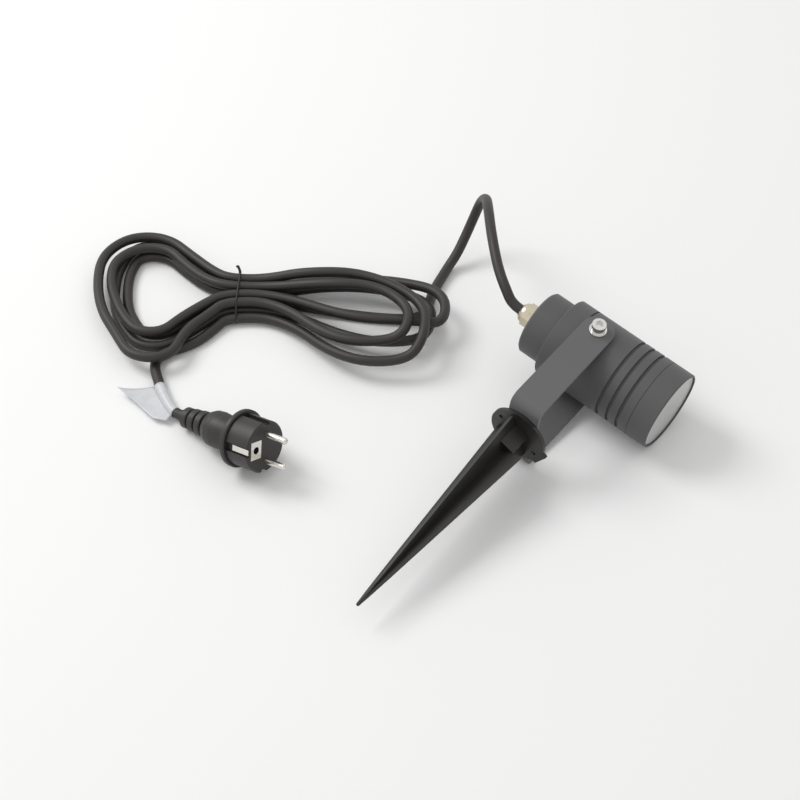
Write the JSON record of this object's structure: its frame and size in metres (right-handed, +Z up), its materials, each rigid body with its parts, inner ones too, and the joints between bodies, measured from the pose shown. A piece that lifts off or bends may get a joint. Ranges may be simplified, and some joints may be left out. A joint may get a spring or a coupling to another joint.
{
  "type": "garden spike spotlight",
  "caption": "Garden spotlight on a ground spike: grooved round head in a U bracket, ribbed moulded spike, and a mains lead in a tied hank with a moulded plug.",
  "frame": {"origin": "on the ground, under the middle of the lamp's own box, which is its head, bracket and spike without the lead", "axes": "+Z up from the ground; +X from the spike tip to the head; -Y the way the front glass looks"},
  "size_m": [0.3372, 0.4419, 0.0814],
  "materials": {
    "head_coat": "satin powder coat on turned aluminium",
    "bracket_coat": "satin powder coat on bent strip",
    "fasteners": "stainless steel",
    "gland_metal": "nickel plated",
    "seals": "moulded",
    "front_pane": "frosted",
    "spike_plastic": "moulded",
    "cable_sheath": "extruded sheath, satin",
    "plug_rubber": "moulded, satin",
    "plug_metal": "nickel plated",
    "holder_ceramic": "unglazed",
    "holder_strip": "zinc plated strip",
    "lamp_shell": "turned reflector body",
    "lamp_window": "clear lens plate",
    "block_plastic": "moulded",
    "block_screws": "turned",
    "live_insulation": "extruded",
    "neutral_insulation": "extruded",
    "earth_insulation": "extruded",
    "lamp_lead_insulation": "extruded",
    "tie_plastic": "coated wire",
    "label_film": "thin film, blank"
  },
  "bodies": {
    "head": {"housing": "head_coat", "rear_cap": "head_coat", "rear_seal": "seals", "gland_washer": "seals", "gland_body": "gland_metal", "gland_locknut": "gland_metal", "gland_nut": "gland_metal", "cable_grommet": "seals", "cable_sheath_end": "cable_sheath", "pivot_screws": "fasteners", "spring_washers": "fasteners", "flat_washers": "fasteners", "holder_bracket": "holder_strip", "holder_screws": "fasteners", "lamp_holder": "holder_ceramic", "lamp_pins": "plug_metal", "lamp_body": "lamp_shell", "lamp_lens": "lamp_window", "terminal_block": "block_plastic", "terminal_screws": "block_screws", "live_core": "live_insulation", "neutral_core": "neutral_insulation", "holder_leads": "lamp_lead_insulation", "earth_core": "earth_insulation", "earth_tag": "fasteners", "earth_screw": "fasteners", "cable_lead": "cable_sheath", "cable_hank": "cable_sheath", "cable_tail": "cable_sheath", "cable_tie": "tie_plastic", "cable_label": "label_film", "plug_moulding": "plug_rubber", "plug_pins": "plug_metal", "plug_clips": "plug_metal", "plug_earth": "plug_metal"},
    "front_cap": {"front_ring": "head_coat", "ring_seal": "seals", "glass_gasket": "seals", "front_glass": "front_pane"},
    "bracket": {"yoke": "bracket_coat"},
    "spike_part": {"spike": "spike_plastic", "spike_nut": "fasteners", "spike_bolt": "fasteners", "spike_washer": "fasteners"}
  },
  "joints": [
    {"name": "tilt", "type": "hinge", "parent": "head", "child": "bracket", "pos_m": [0.11316, 0.00602, 0.04072], "axis": [-0.082, -0.1636, 0.9831], "range_deg": [-20, 225]},
    {"name": "spike_swivel", "type": "hinge", "parent": "bracket", "child": "spike_part", "pos_m": [0.03005, 0.00602, 0.03378], "axis": [-0.9965, 0, -0.0832], "continuous": true},
    {"name": "front_ring_unscrew", "type": "slide", "parent": "head", "child": "front_cap", "axis": [0.0136, -0.9865, -0.163], "range_m": [0, 0.009]}
  ]
}
